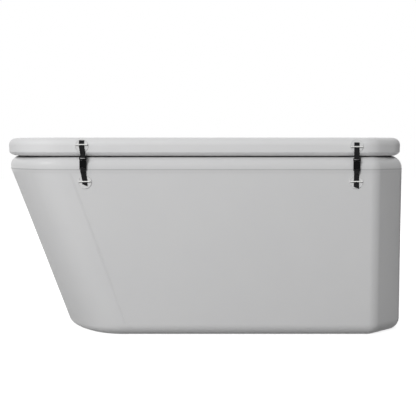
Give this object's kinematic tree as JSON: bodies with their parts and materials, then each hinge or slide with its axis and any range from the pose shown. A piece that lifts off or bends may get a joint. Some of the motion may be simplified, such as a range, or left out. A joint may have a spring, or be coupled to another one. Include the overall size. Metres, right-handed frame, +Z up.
{
  "type": "inflatable bathtub",
  "caption": "Inflatable bathtub with thick drop-stitch walls, a leaning rounded head end, a chamfered foot end and a strapped-on inflatable lid.",
  "frame": {"origin": "on the floor under the middle of the tub, half way between its vertical foot end and the head end's widest rim", "axes": "+X towards the foot end, +Y towards the back wall with the valve and the drain, +Z up"},
  "size_m": [1.6119, 0.7785, 0.7768],
  "materials": {
    "grey_pvc": "light grey coated PVC, satin",
    "rim_pvc": "light grey coated PVC, slightly glossier",
    "inner_pvc": "pale PVC",
    "base_pvc": "dark grey coated PVC, matt",
    "seam_tape": "welded PVC tape",
    "drop_stitch_core": "polyester yarns in air",
    "patch_pvc": "moulded PVC",
    "white_bar": "moulded nylon",
    "black_webbing": "woven polyester",
    "black_buckle": "moulded acetal",
    "valve_plastic": "moulded, satin",
    "valve_inner": "moulded",
    "spring_steel": "drawn wire",
    "drain_plastic": "moulded, satin"
  },
  "bodies": {
    "tub": {"tub_wall_core": "drop_stitch_core", "tub_floor_core": "drop_stitch_core", "tub_side_skin": "grey_pvc", "tub_head_skin": "grey_pvc", "tub_rim_strip": "rim_pvc", "tub_basin_skin": "inner_pvc", "tub_floor_skin": "inner_pvc", "tub_base_sheet": "base_pvc", "tub_seam_tapes": "seam_tape", "tub_strap_patches": "patch_pvc", "tub_strap_bars": "white_bar", "tub_strap_tails": "black_webbing", "tub_valve_housing": "valve_plastic", "tub_valve_nut": "valve_inner", "tub_valve_spring": "spring_steel", "drain_body": "drain_plastic", "drain_nut": "drain_plastic"},
    "drain_cap": {"drain_cap": "drain_plastic"},
    "lid": {"lid_core": "drop_stitch_core", "lid_top_skin": "grey_pvc", "lid_bottom_skin": "grey_pvc", "lid_edge_strip": "grey_pvc", "lid_seam_tape": "seam_tape", "lid_strap_patches": "patch_pvc", "lid_strap_bars": "white_bar", "lid_strap_tails": "black_webbing", "lid_valve_housing": "valve_plastic", "lid_valve_nut": "valve_inner", "lid_valve_spring": "spring_steel"},
    "tub_valve_poppet": {"tub_valve_poppet": "valve_inner"},
    "tub_valve_tether_ring": {"tub_valve_tether_ring": "valve_plastic"},
    "tub_valve_cap": {"tub_valve_cap": "valve_plastic"},
    "lid_valve_poppet": {"lid_valve_poppet": "valve_inner"},
    "lid_valve_tether_ring": {"lid_valve_tether_ring": "valve_plastic"},
    "lid_valve_cap": {"lid_valve_cap": "valve_plastic"},
    "upper_strap_head_front": {"webbing_upper_head_front": "black_webbing", "buckle_male_head_front": "black_buckle"},
    "lower_strap_head_front": {"webbing_lower_head_front": "black_webbing", "buckle_female_head_front": "black_buckle"},
    "prong_headward_head_front": {"prong_headward_head_front": "black_buckle"},
    "prong_footward_head_front": {"prong_footward_head_front": "black_buckle"},
    "upper_strap_foot_front": {"webbing_upper_foot_front": "black_webbing", "buckle_male_foot_front": "black_buckle"},
    "lower_strap_foot_front": {"webbing_lower_foot_front": "black_webbing", "buckle_female_foot_front": "black_buckle"},
    "prong_headward_foot_front": {"prong_headward_foot_front": "black_buckle"},
    "prong_footward_foot_front": {"prong_footward_foot_front": "black_buckle"},
    "upper_strap_head_back": {"webbing_upper_head_back": "black_webbing", "buckle_male_head_back": "black_buckle"},
    "lower_strap_head_back": {"webbing_lower_head_back": "black_webbing", "buckle_female_head_back": "black_buckle"},
    "prong_headward_head_back": {"prong_headward_head_back": "black_buckle"},
    "prong_footward_head_back": {"prong_footward_head_back": "black_buckle"},
    "upper_strap_foot_back": {"webbing_upper_foot_back": "black_webbing", "buckle_male_foot_back": "black_buckle"},
    "lower_strap_foot_back": {"webbing_lower_foot_back": "black_webbing", "buckle_female_foot_back": "black_buckle"},
    "prong_headward_foot_back": {"prong_headward_foot_back": "black_buckle"},
    "prong_footward_foot_back": {"prong_footward_foot_back": "black_buckle"}
  },
  "joints": [
    {"name": "lid_lift", "type": "slide", "parent": "tub", "child": "lid", "axis": [0, 0, 1], "range_m": [0, 0.35]},
    {"name": "drain_cap_off", "type": "slide", "parent": "tub", "child": "drain_cap", "axis": [0, 1, 0], "range_m": [0, 0.03]},
    {"name": "tub_valve_press", "type": "slide", "parent": "tub", "child": "tub_valve_poppet", "axis": [0, -1, 0], "range_m": [0, 0.005], "stiffness_N_per_m": 300, "springref_m": -0.004, "deforming": ["tub_valve_spring"]},
    {"name": "tub_valve_tether_turn", "type": "hinge", "parent": "tub", "child": "tub_valve_tether_ring", "pos_m": [0.36, 0.375, 0.56], "axis": [0, 1, 0], "continuous": true},
    {"name": "tub_valve_cap_flip", "type": "hinge", "parent": "tub_valve_tether_ring", "child": "tub_valve_cap", "pos_m": [0.36, 0.3779, 0.5945], "axis": [1, 0, 0], "range_deg": [0, 120]},
    {"name": "lid_valve_press", "type": "slide", "parent": "lid", "child": "lid_valve_poppet", "axis": [0, 0, -1], "range_m": [0, 0.005], "stiffness_N_per_m": 300, "springref_m": -0.004, "deforming": ["lid_valve_spring"]},
    {"name": "lid_valve_tether_turn", "type": "hinge", "parent": "lid", "child": "lid_valve_tether_ring", "pos_m": [0.47, 0.215, 0.771], "axis": [0, 0, 1], "continuous": true},
    {"name": "lid_valve_cap_flip", "type": "hinge", "parent": "lid_valve_tether_ring", "child": "lid_valve_cap", "pos_m": [0.47, 0.1805, 0.7739], "axis": [1, 0, 0], "range_deg": [0, 120]},
    {"name": "upper_strap_head_front_swing", "type": "hinge", "parent": "lid", "child": "upper_strap_head_front", "pos_m": [-0.45248, -0.3808, 0.744], "axis": [-1, 0, 0], "range_deg": [0, 165]},
    {"name": "lower_strap_head_front_swing", "type": "hinge", "parent": "tub", "child": "lower_strap_head_front", "pos_m": [-0.44148, -0.3808, 0.603], "axis": [1, 0, 0], "range_deg": [0, 165]},
    {"name": "prong_headward_head_front_squeeze", "type": "hinge", "parent": "upper_strap_head_front", "child": "prong_headward_head_front", "pos_m": [-0.45488, -0.3815, 0.683], "axis": [0, -1, 0], "range_deg": [0, 9.5], "stiffness_Nm_per_rad": 0.02},
    {"name": "prong_footward_head_front_squeeze", "type": "hinge", "parent": "upper_strap_head_front", "child": "prong_footward_head_front", "pos_m": [-0.44008, -0.3815, 0.683], "axis": [0, 1, 0], "range_deg": [0, 9.5]},
    {"name": "upper_strap_foot_front_swing", "type": "hinge", "parent": "lid", "child": "upper_strap_foot_front", "pos_m": [0.598, -0.3808, 0.736], "axis": [-1, 0, 0], "range_deg": [0, 165]},
    {"name": "lower_strap_foot_front_swing", "type": "hinge", "parent": "tub", "child": "lower_strap_foot_front", "pos_m": [0.598, -0.3808, 0.603], "axis": [1, 0, 0], "range_deg": [0, 165]},
    {"name": "prong_headward_foot_front_squeeze", "type": "hinge", "parent": "upper_strap_foot_front", "child": "prong_headward_foot_front", "pos_m": [0.5906, -0.3815, 0.678], "axis": [0, -1, 0], "range_deg": [0, 9.5], "stiffness_Nm_per_rad": 0.02},
    {"name": "prong_footward_foot_front_squeeze", "type": "hinge", "parent": "upper_strap_foot_front", "child": "prong_footward_foot_front", "pos_m": [0.6054, -0.3815, 0.678], "axis": [0, 1, 0], "range_deg": [0, 9.5]},
    {"name": "upper_strap_head_back_swing", "type": "hinge", "parent": "lid", "child": "upper_strap_head_back", "pos_m": [-0.45248, 0.3808, 0.744], "axis": [1, 0, 0], "range_deg": [0, 165]},
    {"name": "lower_strap_head_back_swing", "type": "hinge", "parent": "tub", "child": "lower_strap_head_back", "pos_m": [-0.44148, 0.3808, 0.603], "axis": [-1, 0, 0], "range_deg": [0, 165]},
    {"name": "prong_headward_head_back_squeeze", "type": "hinge", "parent": "upper_strap_head_back", "child": "prong_headward_head_back", "pos_m": [-0.45488, 0.3815, 0.683], "axis": [0, -1, 0], "range_deg": [0, 9.5], "stiffness_Nm_per_rad": 0.02},
    {"name": "prong_footward_head_back_squeeze", "type": "hinge", "parent": "upper_strap_head_back", "child": "prong_footward_head_back", "pos_m": [-0.44008, 0.3815, 0.683], "axis": [0, 1, 0], "range_deg": [0, 9.5]},
    {"name": "upper_strap_foot_back_swing", "type": "hinge", "parent": "lid", "child": "upper_strap_foot_back", "pos_m": [0.598, 0.3808, 0.736], "axis": [1, 0, 0], "range_deg": [0, 165]},
    {"name": "lower_strap_foot_back_swing", "type": "hinge", "parent": "tub", "child": "lower_strap_foot_back", "pos_m": [0.598, 0.3808, 0.603], "axis": [-1, 0, 0], "range_deg": [0, 165]},
    {"name": "prong_headward_foot_back_squeeze", "type": "hinge", "parent": "upper_strap_foot_back", "child": "prong_headward_foot_back", "pos_m": [0.5906, 0.3815, 0.678], "axis": [0, -1, 0], "range_deg": [0, 9.5], "stiffness_Nm_per_rad": 0.02},
    {"name": "prong_footward_foot_back_squeeze", "type": "hinge", "parent": "upper_strap_foot_back", "child": "prong_footward_foot_back", "pos_m": [0.6054, 0.3815, 0.678], "axis": [0, 1, 0], "range_deg": [0, 9.5]}
  ],
  "couplings": [
    {"joint": "prong_footward_head_front_squeeze", "follows": "prong_headward_head_front_squeeze", "ratio": 1},
    {"joint": "prong_footward_foot_front_squeeze", "follows": "prong_headward_foot_front_squeeze", "ratio": 1},
    {"joint": "prong_footward_head_back_squeeze", "follows": "prong_headward_head_back_squeeze", "ratio": 1},
    {"joint": "prong_footward_foot_back_squeeze", "follows": "prong_headward_foot_back_squeeze", "ratio": 1}
  ]
}
